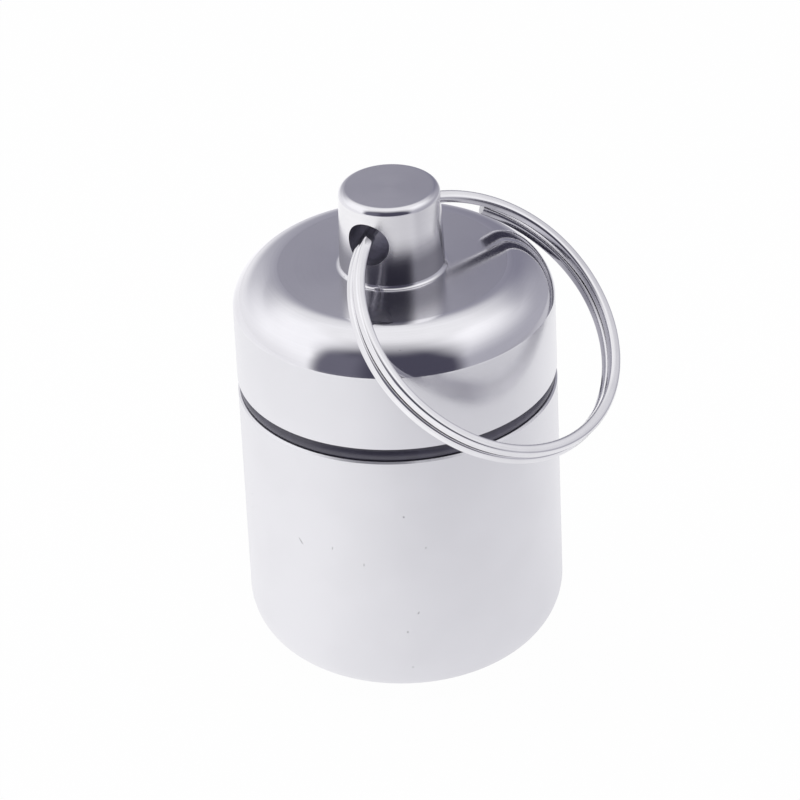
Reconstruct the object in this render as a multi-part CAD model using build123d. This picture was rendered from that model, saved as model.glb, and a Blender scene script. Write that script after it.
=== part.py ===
from build123d import *
import os
from math import asin, atan, atan2, cos, degrees, hypot, radians, sin

# A key-ring pill capsule, turned from aluminium bar: a cup with a reduced neck, a screw cap with a
# drilled knob, a rubber seal in the joint between them and a split ring through the knob.
# Millimetres. The origin is the centre of the cup's flat base and +Z runs up the capsule's axis.

# Cup
body_radius = 13.0        # outside of the cup and of the cap
cup_height = 23.5         # base to the shoulder under the seal
base_round = 4.6          # rounding between the wall and the base
shoulder_break = 0.14     # broken edge round the shoulder
floor_thickness = 2.6     # metal under the pills
bore_radius = 9.9         # room for the pills
bore_round = 1.6          # rounding where the bore meets its floor
neck_height = 7.0         # shoulder to the mouth
neck_wall = 0.9           # metal between the bore and the thread's root
neck_lead = 0.35          # chamfer round the mouth's outer edge
mouth_break = 0.2         # broken inner edge of the mouth

# Screw thread, shown plain: the neck stands at the thread's root and the cap's bore at its own root
thread_depth = 0.5
thread_clearance = 0.1    # radial, from the neck's thread to the cap's

# Seal
seal_gap = 1.13           # open joint between the shoulder and the cap's rim
seal_cord = 1.3           # thickness of the rubber ring
seal_inset = 0.15         # how far the seal stays inside the body's outline
seal_fit = 0.05           # clearance of the seal in its seats

# Cap
wall_height = 6.67        # rim to the crisp edge under the dome
dome_height = 3.0         # crisp edge to the flat top
flat_radius = 9.25        # flat top
roof_thickness = 2.3      # metal under the flat top
roof_round = 0.8          # rounding in the corner of the cap's hollow
rim_break = 0.1           # broken outer edge of the rim
rim_lead = 0.25           # chamfer at the mouth of the cap's bore

# Knob
knob_height = 7.0
knob_base_radius = 4.26
knob_top_radius = 4.06
knob_top_round = 0.58
knob_foot_round = 0.3     # hollow rounding where the knob stands on the flat top
hole_radius = 1.8         # cross hole for the split ring
hole_height = 3.8         # flat top to the hole's axis
hole_azimuth = 61.7       # direction of the hole's axis, degrees from +X

# Split ring
wire_diameter = 1.0
ring_radius = 11.69       # centre of the wire
ring_oval = 0.26          # how far the ring is out of round
coil_pitch = 1.02         # distance between the two turns
low_end_angle = 42.2      # cut end of the lower turn, degrees round the ring
high_end_angle = 109.5    # cut end of the upper turn
crossing_angle = 104.0    # stretch over which the wire climbs from one turn to the other
end_spring = 0.3          # how far the lower turn's free end stands off
end_spring_angle = 60.0   # stretch over which it comes back to the other turn
path_step = 13.0          # degrees between two points that the wire's centre line runs through
contact_step = 1.5        # degrees between two points that are tried against the cap
ring_play = 0.47          # how far the wire runs above the hole's axis, in the ring's plane
ring_shift = 0.54         # how far the ring's middle plane stands off the hole's axis
ring_skew = 8.9           # turn of the ring in its own plane, from the play in the hole
ring_tip = 6.5            # tilt of the ring's plane across the hole, from the same play
ring_rest_gap = 0.1       # clearance where the ring leans on the dome

# Sizes that follow
neck_radius = bore_radius + neck_wall
thread_radius = neck_radius + thread_depth
cap_bore_radius = thread_radius + thread_clearance
mouth_z = cup_height + neck_height
rim_z = cup_height + seal_gap
edge_z = rim_z + wall_height
top_z = edge_z + dome_height
roof_z = top_z - roof_thickness
knob_z = top_z + knob_height
hole_z = top_z + hole_height
dome_width = body_radius - flat_radius
dome_round = (dome_width**2 + dome_height**2) / (2 * dome_height)
dome_centre_z = top_z - dome_round
dome_end = asin((edge_z - dome_centre_z) / dome_round)
seal_radius = seal_cord / 2
seal_ring_radius = body_radius - seal_inset - seal_radius
seal_z = rim_z - seal_fit - seal_radius
seat_radius = seal_ring_radius - seal_radius - seal_fit
wire_radius = wire_diameter / 2


def turned(outline):
    """A solid of revolution about Z, from the (radius, height) curves of its closed outline."""
    edges = [edge for curve in outline for edge in curve.edges()]
    return revolve(Plane.XZ * make_face(edges), Axis.Z)


def arc_between(centre, radius, start, end):
    """An arc in the profile plane, from one angle to the other, in degrees."""
    return CenterArc(centre, radius, start, end - start)


def make_cup():
    """Cup: rounded base, straight bore, shoulder with the seal's seat, reduced neck."""
    outline = [
        Line((0, 0), (body_radius - base_round, 0)),
        arc_between((body_radius - base_round, base_round), base_round, -90, 0),
        Polyline(
            (body_radius, base_round),
            (body_radius, cup_height - shoulder_break),
            (body_radius - shoulder_break, cup_height),
            (seat_radius, cup_height),
            (seat_radius, seal_z + seal_radius),
            (neck_radius, seal_z + seal_radius + thread_depth),
            (neck_radius, mouth_z - neck_lead),
            (neck_radius - neck_lead, mouth_z),
            (bore_radius + mouth_break, mouth_z),
            (bore_radius, mouth_z - mouth_break),
            (bore_radius, floor_thickness + bore_round),
        ),
        arc_between((bore_radius - bore_round, floor_thickness + bore_round), bore_round, 0, -90),
        Line((bore_radius - bore_round, floor_thickness), (0, floor_thickness)),
        Line((0, floor_thickness), (0, 0)),
    ]
    seat = Pos(0, 0, seal_z) * Torus(seal_ring_radius, seal_radius + seal_fit)
    return turned(outline) - seat


def make_seal():
    """Round rubber ring that lies in the shoulder's seat, under the cap's rim."""
    return Pos(0, 0, seal_z) * Torus(seal_ring_radius, seal_radius)


def make_cap():
    """Cap: straight wall, polished dome up to a flat top, drilled knob, threaded hollow."""
    slope = (knob_base_radius - knob_top_radius) / knob_height
    taper = atan(slope)
    side_angle = degrees(taper)
    foot_lift = knob_foot_round * (1 - sin(taper))
    foot_side = (knob_base_radius - slope * foot_lift, top_z + foot_lift)
    foot_centre = (foot_side[0] + knob_foot_round * cos(taper), top_z + knob_foot_round)
    crown_drop = knob_top_round * (1 - sin(taper))
    crown_side = (knob_top_radius + slope * crown_drop, knob_z - crown_drop)
    crown_centre = (crown_side[0] - knob_top_round * cos(taper), knob_z - knob_top_round)
    outline = [
        Polyline(
            (cap_bore_radius + rim_lead, rim_z),
            (body_radius - rim_break, rim_z),
            (body_radius, rim_z + rim_break),
            (body_radius, edge_z),
        ),
        arc_between((flat_radius, dome_centre_z), dome_round, degrees(dome_end), 90),
        Line((flat_radius, top_z), (foot_centre[0], top_z)),
        arc_between(foot_centre, knob_foot_round, 270, 180 + side_angle),
        Line(foot_side, crown_side),
        arc_between(crown_centre, knob_top_round, side_angle, 90),
        Line((crown_centre[0], knob_z), (0, knob_z)),
        Line((0, knob_z), (0, roof_z)),
        Line((0, roof_z), (cap_bore_radius - roof_round, roof_z)),
        arc_between((cap_bore_radius - roof_round, roof_z - roof_round), roof_round, 90, 0),
        Polyline(
            (cap_bore_radius, roof_z - roof_round),
            (cap_bore_radius, rim_z + rim_lead),
            (cap_bore_radius + rim_lead, rim_z),
        ),
    ]
    hole = Cylinder(hole_radius, 4 * knob_base_radius)
    along_hole = Plane(origin=(0, 0, hole_z), z_dir=hole_axis())
    return turned(outline) - along_hole * hole


def hole_axis():
    """Level direction of the knob's cross hole, about which the split ring swings."""
    angle = radians(hole_azimuth)
    return Vector(cos(angle), sin(angle), 0)


def ring_plane(lean):
    """The split ring's own plane, tipped down by an angle from level about the hole's axis.

    Its origin is the ring's centre, its y axis points to the hole and its z axis along the coil.
    """
    outward = hole_axis().cross(Vector(0, 0, 1))
    coil_axis = outward * sin(lean) + Vector(0, 0, 1) * cos(lean)
    square = Plane(origin=(0, 0, hole_z), x_dir=hole_axis(), z_dir=coil_axis)
    loose = square.location * Rotation(0, -ring_tip, -ring_skew)
    return Plane(loose * Pos(0, ring_play - ring_radius, ring_shift))


def smooth(share):
    """Soft step from 0 to 1."""
    share = min(max(share, 0.0), 1.0)
    return share * share * (3 - 2 * share)


def wire_level(travel):
    """Height of the wire's centre over the ring's middle plane, at an angle along the wire."""
    crossing_start = low_end_angle + 360 - high_end_angle
    climb = coil_pitch * smooth((travel - crossing_start) / crossing_angle)
    stand_off = end_spring * (1 - smooth(travel / end_spring_angle))
    return climb - coil_pitch / 2 - stand_off


def wire_point(travel):
    """Centre of the wire in the ring's own plane, at an angle along the wire from its lower end."""
    angle = radians(low_end_angle - travel)
    reach = ring_radius + ring_oval * sin(2 * angle)
    return Vector(reach * cos(angle), reach * sin(angle), wire_level(travel))


def gap_to_cap(point):
    """Distance from a point beside or above the cap to its dome, its flat top or its wall."""
    radius = hypot(point.X, point.Y)
    if radius <= flat_radius:
        return point.Z - top_z
    if atan2(point.Z - dome_centre_z, radius - flat_radius) >= dome_end:
        return hypot(radius - flat_radius, point.Z - dome_centre_z) - dome_round
    return hypot(radius - body_radius, max(point.Z - edge_z, 0))


def wire_length_angle():
    """Angle that the wire turns through from its lower end to its upper end."""
    return low_end_angle + 720 - high_end_angle


def wire_points(step):
    """Evenly spaced points of the wire's centre line, in the ring's own plane."""
    count = round(wire_length_angle() / step)
    return [wire_point(wire_length_angle() * index / count) for index in range(count + 1)]


def resting_lean():
    """The lean at which the ring comes down on the dome, found by halving the interval."""
    points = wire_points(contact_step)
    high, low = 0.0, radians(75)
    for _ in range(40):
        lean = (high + low) / 2
        plane = ring_plane(lean)
        nearest = min(gap_to_cap(plane.from_local_coords(point)) for point in points)
        if nearest > wire_radius + ring_rest_gap:
            high = lean
        else:
            low = lean
    return high


def make_split_ring():
    """Split ring: one round wire in two turns, with a crossing between them and two cut ends."""
    path = Spline(*wire_points(path_step))
    start = Plane(origin=path @ 0, z_dir=path % 0)
    wire = sweep(start * Circle(wire_radius), path=path)
    return ring_plane(resting_lean()) * wire


os.makedirs("parts", exist_ok=True)
export_step(make_cup(), "parts/cup.step")
export_step(make_seal(), "parts/o_ring.step")
export_step(make_cap(), "parts/cap.step")
export_step(make_split_ring(), "parts/split_ring.step")
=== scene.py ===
"""Studio scene of a key-ring pill capsule: a turned cup, its screw cap, a rubber seal and a split ring.

Lengths are millimetres and become metres when a mesh is made. Angles are degrees unless said otherwise.
Z is up, the cup stands at the origin and the screw's axis is the Z axis.
"""

from __future__ import annotations

import logging
from dataclasses import dataclass, field
from enum import Enum
from typing import Any

import bpy
import numpy as np
from mathutils import Matrix, Vector


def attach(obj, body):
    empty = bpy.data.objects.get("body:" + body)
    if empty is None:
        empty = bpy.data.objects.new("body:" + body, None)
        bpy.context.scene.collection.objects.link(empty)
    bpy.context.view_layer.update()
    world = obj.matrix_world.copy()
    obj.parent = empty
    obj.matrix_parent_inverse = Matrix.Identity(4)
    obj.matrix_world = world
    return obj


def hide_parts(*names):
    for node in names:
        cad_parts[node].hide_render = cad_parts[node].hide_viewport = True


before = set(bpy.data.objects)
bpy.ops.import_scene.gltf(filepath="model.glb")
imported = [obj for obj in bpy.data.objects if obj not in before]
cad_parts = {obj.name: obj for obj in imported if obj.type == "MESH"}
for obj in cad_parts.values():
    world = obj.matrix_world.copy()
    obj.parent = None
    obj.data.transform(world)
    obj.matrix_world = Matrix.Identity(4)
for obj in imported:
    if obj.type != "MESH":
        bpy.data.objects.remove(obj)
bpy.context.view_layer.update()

LOG = logging.getLogger("capsule")
MM = 0.001  # one millimetre in metres
WELD = 1e-5  # points closer than this are one point
TINY = 1e-12  # stands in for a length of nothing where one divides by it
TURNS = 256  # cells round a turned surface of the capsule
STUDIO_TURNS = 96  # the same for the tent and the paper
ROUND = 2 * np.pi  # a full turn, in radians

Colour = tuple[float, float, float]
Spot = tuple[float, float]  # distance from the axis, and height
Socket = bpy.types.NodeSocket
Node = bpy.types.Node


# Surfaces: turned profiles and patches, as whole arrays


@dataclass(frozen=True)
class Patch:
    """A surface worked out on a grid.

    Attributes:
        points: Places on the surface, shape (rows, columns, 3).
        normals: Outward unit normals there.
        finish: Which of the piece's finishes it wears.
        marks: Lengths along and across the surface there, shape (rows, columns, 2), or None.
    """

    points: np.ndarray
    normals: np.ndarray
    finish: int = 0
    marks: np.ndarray | None = None


@dataclass(frozen=True)
class Run:
    """One stretch of a turned profile, travelled with the metal on its left-hand side.

    Attributes:
        radius: Distances from the axis.
        height: Heights.
        lean: Angle of the outward normal above the horizontal at each point, in radians.
        finish: Which of the piece's finishes it wears.
    """

    radius: np.ndarray
    height: np.ndarray
    lean: np.ndarray
    finish: int = 0


def around(radius: Any, angle: Any, height: Any) -> np.ndarray:
    """Vectors round the Z axis: radius times the cosine and sine of an angle in radians, and a height."""
    return np.stack(np.broadcast_arrays(radius * np.cos(angle), radius * np.sin(angle), height), -1)


def straight(start: Spot, end: Spot, steps: int = 1, finish: int = 0) -> Run:
    """A straight stretch of profile, whose normal is its direction turned a quarter to the right.

    Args:
        start: Its first point.
        end: Its last point.
        steps: Number of cells along it.
        finish: Which of the piece's finishes it wears.

    Returns:
        The stretch.
    """
    share = np.linspace(0.0, 1.0, steps + 1)
    along = np.arctan2(end[1] - start[1], end[0] - start[0])
    radius, height = (first + (last - first) * share for first, last in zip(start, end))
    return Run(radius, height, np.full(steps + 1, along - np.pi / 2), finish)


def arc(centre: Spot, radius: float, start: float, end: float, steps: int, finish: int = 0) -> Run:
    """An arc of profile: centre plus radius times the cosine and sine of an angle that runs evenly.

    Its normal points away from the centre where the angle grows, and to the centre where it falls.

    Args:
        centre: The arc's centre.
        radius: Radius of the arc.
        start: First angle above the horizontal.
        end: Last angle.
        steps: Number of cells along it.
        finish: Which of the piece's finishes it wears.

    Returns:
        The stretch.
    """
    angle = np.radians(np.linspace(start, end, steps + 1))
    inward = np.pi if end < start else 0.0
    return Run(centre[0] + radius * np.cos(angle), centre[1] + radius * np.sin(angle), angle + inward, finish)


def chain(corners: list[Spot], finish: int = 0) -> list[Run]:
    """Straight stretches from each corner to the next.

    Args:
        corners: The corners.
        finish: Which of the piece's finishes they wear.

    Returns:
        The stretches in order.
    """
    return [straight(start, end, 1, finish) for start, end in zip(corners, corners[1:])]


def turned(run: Run, phase: float = 0.0, turns: int = TURNS) -> Patch:
    """A stretch of profile carried round the Z axis: its radius and its height at every angle.

    Args:
        run: The stretch of profile.
        phase: Angle of the first column.
        turns: Number of cells round the axis.

    Returns:
        The surface, with its first column repeated as its last.
    """
    angle = np.radians(phase) + np.linspace(0.0, ROUND, turns + 1)
    angle[-1] = angle[0]
    radius, height, lean = (part[:, None] for part in (run.radius, run.height, run.lean))
    return Patch(around(radius, angle, height), around(np.cos(lean), angle, np.sin(lean)), run.finish)


def piece_from(name: str, patches: list[Patch], finishes: list[bpy.types.Material]) -> bpy.types.Object:
    """One closed mesh out of patches: cells cut into triangles, turned outwards and welded where they meet.

    Each corner keeps its patch's own normal, so rounds shade smoothly and edges between stretches stay crisp.

    Args:
        name: Name of the piece.
        patches: Its surfaces.
        finishes: Its materials, in the order that the patches number them.

    Returns:
        The object, linked to the scene.
    """
    triangles, corner_normals, corner_marks, slots, points = [], [], [], [], []
    start = 0
    for patch in patches:
        rows, columns = patch.points.shape[:2]
        index = np.arange(rows * columns).reshape(rows, columns)
        a, b, c, d = index[:-1, :-1], index[:-1, 1:], index[1:, 1:], index[1:, :-1]
        cells = np.concatenate([np.stack(corners, -1).reshape(-1, 3) for corners in ((a, b, c), (a, c, d))])
        place, normal = patch.points.reshape(-1, 3), patch.normals.reshape(-1, 3)
        facing = np.cross(place[cells[:, 1]] - place[cells[:, 0]], place[cells[:, 2]] - place[cells[:, 0]])
        wrong = (facing * normal[cells].sum(1)).sum(-1) < 0
        cells[wrong] = cells[wrong][:, ::-1]
        marks = np.zeros((len(place), 2)) if patch.marks is None else patch.marks.reshape(-1, 2)
        triangles.append(cells + start)
        corner_normals.append(normal[cells])
        corner_marks.append(marks[cells])
        slots.append(np.full(len(cells), patch.finish))
        points.append(place)
        start += len(place)
    places = np.concatenate(points)
    keys = np.round(places / WELD).astype(np.int64)
    _, first, welded = np.unique(keys, axis=0, return_index=True, return_inverse=True)
    cells = welded.reshape(-1)[np.concatenate(triangles)]
    kept = (cells[:, 0] != cells[:, 1]) & (cells[:, 1] != cells[:, 2]) & (cells[:, 2] != cells[:, 0])
    cells = cells[kept]

    mesh = bpy.data.meshes.new(name)
    mesh.from_pydata((places[first] * MM).tolist(), [], cells.tolist())
    for finish in finishes:
        mesh.materials.append(finish)
    mesh.polygons.foreach_set("material_index", np.concatenate(slots)[kept].astype(np.int32))
    if any(patch.marks is not None for patch in patches):
        layer = mesh.uv_layers.new(name="marks")
        layer.data.foreach_set("uv", np.concatenate(corner_marks)[kept].astype(np.float32).ravel())
    mesh.shade_smooth()
    mesh.update()
    mesh.normals_split_custom_set(np.concatenate(corner_normals)[kept].reshape(-1, 3).tolist())
    piece = bpy.data.objects.new(name, mesh)
    bpy.context.scene.collection.objects.link(piece)
    LOG.info("%s: %d triangles", name, len(cells))
    return piece


# Node trees


class Sheet:
    """Short-hand for filling a node tree."""

    def __init__(self, tree: bpy.types.NodeTree) -> None:
        """Keeps the tree to fill."""
        self.tree = tree

    def node(self, kind: str, inputs: dict[Any, Any] | None = None, **settings: Any) -> Node:
        """Adds a node.

        Args:
            kind: The node's type without its ShaderNode prefix.
            inputs: Values or sockets for its inputs, by name or number.
            settings: Its other properties.

        Returns:
            The node.
        """
        made = self.tree.nodes.new("ShaderNode" + kind)
        for name, value in settings.items():
            setattr(made, name, value)
        for key, value in (inputs or {}).items():
            if isinstance(value, Socket):
                self.tree.links.new(value, made.inputs[key])
            else:
                made.inputs[key].default_value = value
        return made

    def math(self, operation: str, *values: Any, kind: str = "Math") -> Socket:
        """Adds a Math or VectorMath node.

        Args:
            operation: The node's operation.
            values: Its numbers, vectors or sockets.
            kind: Which of the two.

        Returns:
            Its result.
        """
        return self.node(kind, dict(enumerate(values)), operation=operation).outputs[0]

    def times(self, first: Any, second: Any) -> Socket:
        """Adds a product of two values."""
        return self.math("MULTIPLY", first, second)

    def plus(self, first: Any, second: Any) -> Socket:
        """Adds a sum of two values."""
        return self.math("ADD", first, second)

    def less(self, first: Any, second: Any) -> Socket:
        """Adds the first value less the second."""
        return self.math("SUBTRACT", first, second)

    def span(self, value: Any, low: Any, high: Any, to_low: float = 0.0, to_high: float = 1.0) -> Socket:
        """Carries a value from one range to another, with eased ends.

        Args:
            value: The value.
            low: Where its range starts.
            high: Where its range ends.
            to_low: Result at the start.
            to_high: Result at the end.

        Returns:
            The result.
        """
        inputs = {0: value, 1: low, 2: high, 3: to_low, 4: to_high}
        return self.node("MapRange", inputs, interpolation_type="SMOOTHSTEP").outputs[0]

    def mix(self, share: Any, first: Any, second: Any, blend: str = "MIX") -> Socket:
        """Mixes two colours.

        Args:
            share: How much of the second.
            first: First colour.
            second: Second colour.
            blend: The way of mixing.

        Returns:
            The colour.
        """
        inputs = {0: share, 6: first, 7: second}
        return self.node("Mix", inputs, data_type="RGBA", blend_type=blend).outputs[2]

    def toned(self, colour: Colour, *changes: tuple[Any, float, float, float]) -> Socket:
        """A colour made lighter or darker by maps.

        Args:
            colour: The colour.
            changes: Each map, the two values between which it acts, and what it multiplies the colour by.

        Returns:
            The colour.
        """
        result: Any = (*colour, 1.0)
        for value, low, high, factor in changes:
            changed = self.mix(1.0, result, (factor, factor, factor, 1.0), "MULTIPLY")
            result = self.mix(self.span(value, low, high), result, changed)
        return result

    def noise(self, place: Any, scale: Any, detail: float, roughness: float = 0.5) -> Socket:
        """Adds a noise about one half.

        Args:
            place: Where it is read.
            scale: Its features in a unit of length.
            detail: Its number of finer layers.
            roughness: How strong the finer layers are.

        Returns:
            The noise.
        """
        inputs = {"Vector": place, "Scale": scale, "Detail": detail, "Roughness": roughness}
        return self.node("TexNoise", inputs).outputs[0]

    def joined(self, *parts: Any) -> Socket:
        """Adds a vector of up to three parts."""
        return self.node("CombineXYZ", dict(enumerate(parts))).outputs[0]

    def parted(self, vector: Any) -> list[Socket]:
        """Adds the three parts of a vector."""
        return list(self.node("SeparateXYZ", {0: vector}).outputs)

    def millimetres(self) -> tuple[Socket, list[Socket]]:
        """Adds the place on the object in millimetres, as a vector and as its three parts."""
        place = self.math("SCALE", self.node("TexCoord").outputs["Object"], kind="VectorMath")
        place.node.inputs["Scale"].default_value = 1 / MM
        return place, self.parted(place)

    def marks(self) -> list[Socket]:
        """Adds the lengths along and round the wire, from its own marks."""
        return self.parted(self.node("UVMap", uv_map="marks").outputs[0])

    def reach(self, parts: list[Socket]) -> Socket:
        """Adds the distance from the Z axis: the root of the two level parts' squares."""
        return self.math("SQRT", self.plus(*[self.times(part, part) for part in parts[:2]]))

    def bearing(self, parts: list[Socket]) -> Socket:
        """Adds the angle round the Z axis to the right of the front, in degrees."""
        return self.times(self.math("ARCTAN2", parts[0], self.times(parts[1], -1.0)), 180 / np.pi)

    def group(self, group: bpy.types.NodeTree, **values: Any) -> Any:
        """Places a group.

        Args:
            group: The group.
            values: Values of its inputs, named in small letters with underscores.

        Returns:
            Its outputs.
        """
        named = {label.replace("_", " ").title(): value for label, value in values.items()}
        return self.node("Group", named, node_tree=group).outputs

    def dress(self, colour: Any, spread: Any, heights: list[tuple[Any, float]], **constants: float) -> Node:
        """Adds the material's shader and links it to the output.

        Args:
            colour: Its colour.
            spread: Its roughness.
            heights: Each height map and what a full step of it measures.
            constants: Numbers for its other inputs, with underscores for spaces.

        Returns:
            The shader.
        """
        total: Any = 0.0
        for value, size in heights:
            total = self.plus(total, self.times(value, size * MM))
        bump = self.node("Bump", {"Height": total, "Strength": 1.0, "Distance": 1.0})
        inputs = {"Base Color": colour, "Roughness": spread, "Normal": bump.outputs[0]}
        inputs |= {label.replace("_", " "): value for label, value in constants.items()}
        shader = self.node("BsdfPrincipled", inputs)
        self.close(shader)
        return shader

    def close(self, shader: Node, kind: str = "OutputMaterial") -> None:
        """Links a shader to a new output node of a kind."""
        self.tree.links.new(shader.outputs[0], self.node(kind).inputs[0])


def open_group(name: str, **inputs: float) -> tuple[Sheet, Any]:
    """Starts a shader node group of plain numbers.

    Args:
        name: Its name.
        inputs: Its inputs with their usual values, named in small letters with underscores.

    Returns:
        Its sheet, and the sockets of its inputs.
    """
    group = bpy.data.node_groups.new(name, "ShaderNodeTree")
    for label, value in inputs.items():
        label = label.replace("_", " ").title()
        group.interface.new_socket(label, in_out="INPUT", socket_type="NodeSocketFloat").default_value = value
    return Sheet(group), group.nodes.new("NodeGroupInput").outputs


def close_group(sheet: Sheet, **outputs: Socket) -> bpy.types.NodeTree:
    """Ends a shader node group.

    Args:
        sheet: Its sheet.
        outputs: What it puts out, named in small letters.

    Returns:
        The group.
    """
    for label in outputs:
        sheet.tree.interface.new_socket(label.title(), in_out="OUTPUT", socket_type="NodeSocketFloat")
    outside = sheet.tree.nodes.new("NodeGroupOutput")
    for label, socket in outputs.items():
        sheet.tree.links.new(socket, outside.inputs[label.title()])
    return sheet.tree


def new_material(name: str) -> tuple[bpy.types.Material, Sheet]:
    """Starts a material with an empty tree.

    Args:
        name: Its name.

    Returns:
        The material and its sheet.
    """
    material = bpy.data.materials.new(name)
    material.use_nodes = True
    material.node_tree.nodes.clear()
    return material, Sheet(material.node_tree)


# Effects that several finishes share


class Effects:
    """The shader node groups that several finishes share."""

    def __init__(self) -> None:
        """Builds each group once."""
        self.turning = self.build_turning()
        self.grain = self.build_grain()
        self.wear = self.build_wear()
        self.nick = self.build_nick()
        self.band = self.build_band()
        self.drawn = self.build_drawn()
        self.patch = self.build_patch()

    @staticmethod
    def build_turning() -> bpy.types.NodeTree:
        """Fine lines left by the lathe: noise on distance from the axis and on height, so that it runs round.

        Returns:
            The group, with the lines as a value about one half, and a slow unevenness of the same kind.
        """
        sheet, given = open_group("turning lines", line_density=8.0, waver=0.6)
        _, parts = sheet.millimetres()
        reach = sheet.reach(parts)
        lines = []
        for value, part in zip((reach, parts[2]), parts):
            around = sheet.times(sheet.math("DIVIDE", part, sheet.plus(reach, 0.5)), given["Waver"])
            lines.append(sheet.plus(sheet.times(value, given["Line Density"]), around))
        fine = sheet.noise(sheet.joined(*lines), 1.0, 3.0, 0.6)
        slow = sheet.noise(sheet.joined(*[sheet.times(line, 0.12) for line in lines]), 1.0, 2.0)
        return close_group(sheet, lines=fine, unevenness=slow)

    @staticmethod
    def build_grain() -> bpy.types.NodeTree:
        """Even grain of a blasted or moulded surface, and the soft clouds in it.

        Returns:
            The group, with both as values about one half.
        """
        sheet, given = open_group("surface grain", grain_density=6.0, cloud_density=0.35)
        place, _ = sheet.millimetres()
        fine = sheet.noise(place, given["Grain Density"], 4.0, 0.65)
        return close_group(sheet, grain=fine, clouds=sheet.noise(place, given["Cloud Density"], 3.0, 0.55))

    @staticmethod
    def build_wear() -> bpy.types.NodeTree:
        """Hairline scratches and pin-prick specks: near parts of scattered cells, most of which are left out.

        A scratch's cells are drawn out along a slanted line, after a slow warp that bends them.

        Returns:
            The group, with a mask of each.
        """
        sheet, given = open_group("wear", scratch_density=0.5, speck_density=0.5, share=0.2)
        place, _ = sheet.millimetres()

        def spots(where: Any, density: str, channel: int, core: float, edge: float) -> Socket:
            """Adds the middles of the chosen cells: those whose random colour lies under the share."""
            cell = sheet.node("TexVoronoi", {"Vector": where, "Scale": given[density]}).outputs
            random = sheet.node("SeparateColor", {0: cell["Color"]}).outputs[channel]
            chosen = sheet.math("LESS_THAN", random, given["Share"])
            return sheet.times(sheet.span(cell["Distance"], core, edge, 1.0, 0.0), chosen)

        warp = sheet.node("TexNoise", {"Vector": place, "Scale": 0.11, "Detail": 1.0}).outputs["Color"]
        bend = sheet.math("MULTIPLY", warp, (5.0, 5.0, 5.0), kind="VectorMath")
        bent = sheet.math("ADD", place, bend, kind="VectorMath")
        scratches: Any = 0.0
        for turn, stretch in (((0.4, 0.9, 0.2), (1.0, 1.0, 0.055)), ((-0.9, 0.3, 1.4), (1.0, 1.0, 0.08))):
            slanted = sheet.node("Mapping", {"Vector": bent, "Rotation": turn, "Scale": stretch}).outputs[0]
            scratches = sheet.math("MAXIMUM", scratches, spots(slanted, "Scratch Density", 0, 0.012, 0.03))
        return close_group(sheet, scratches=scratches, specks=spots(place, "Speck Density", 1, 0.02, 0.055))

    @staticmethod
    def build_nick() -> bpy.types.NodeTree:
        """One small dent or scratch on a wall: a leaning oval at an angle round the axis and a height.

        Returns:
            The group, with the oval's mask.
        """
        sheet, given = open_group("nick", azimuth=0.0, height=0.0, length=0.4, width=0.15, lean=0.0)
        _, parts = sheet.millimetres()
        turn = sheet.less(sheet.math("ARCTAN2", parts[1], parts[0]), sheet.math("RADIANS", given["Azimuth"]))
        across = sheet.times(sheet.math("WRAP", turn, np.pi, -np.pi), sheet.reach(parts))
        up = sheet.less(parts[2], given["Height"])
        lean = sheet.math("RADIANS", given["Lean"])
        cosine, sine = sheet.math("COSINE", lean), sheet.math("SINE", lean)
        wide = sheet.less(sheet.times(across, cosine), sheet.times(up, sine))
        long = sheet.plus(sheet.times(across, sine), sheet.times(up, cosine))
        sides = ((wide, "Width"), (long, "Length"))
        shares = [sheet.math("DIVIDE", value, sheet.times(given[size], 0.5)) for value, size in sides]
        return close_group(sheet, mask=sheet.span(sheet.reach(shares), 0.35, 1.0, 1.0, 0.0))

    @staticmethod
    def build_band() -> bpy.types.NodeTree:
        """A soft band about a height, for the rubbed edges that run round the capsule, broken up by noise.

        Returns:
            The group, with the band's mask.
        """
        sheet, given = open_group("rubbed edge", height=0.0, width=0.2, gaps=0.5)
        place, parts = sheet.millimetres()
        off = sheet.math("ABSOLUTE", sheet.less(parts[2], given["Height"]))
        near = sheet.span(sheet.math("DIVIDE", off, given["Width"]), 0.0, 1.0, 1.0, 0.0)
        gaps = sheet.times(sheet.span(sheet.noise(place, 0.9, 3.0), 0.4, 0.62), given["Gaps"])
        return close_group(sheet, mask=sheet.times(near, sheet.less(1.0, gaps)))

    @staticmethod
    def build_patch() -> bpy.types.NodeTree:
        """A soft-edged patch: a turn about a middle one, times a rise between a low and a high one.

        Its side edges may grow softer the more the rise passes 20.

        Returns:
            The group, with the patch's mask.
        """
        sheet, given = open_group(
            "soft patch", turn=0.0, rise=0.0, middle=0.0, half_width=30.0, side_softness=5.0,
            low=-10.0, high=40.0, low_softness=5.0, high_softness=5.0, flare=0.0,
        )
        off = sheet.math("WRAP", sheet.less(given["Turn"], given["Middle"]), 180.0, -180.0)
        away = sheet.math("ABSOLUTE", off)
        above = sheet.math("MAXIMUM", sheet.less(given["Rise"], 20.0), 0.0)
        side = sheet.plus(given["Side Softness"], sheet.times(above, given["Flare"]))
        mask: Any = 1.0
        for value, edge, soft, ends in (
            (away, given["Half Width"], side, (1.0, 0.0)),
            (given["Rise"], given["Low"], given["Low Softness"], (0.0, 1.0)),
            (given["Rise"], given["High"], given["High Softness"], (1.0, 0.0)),
        ):
            mask = sheet.times(mask, sheet.span(value, sheet.less(edge, soft), sheet.plus(edge, soft), *ends))
        return close_group(sheet, mask=mask)

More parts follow.
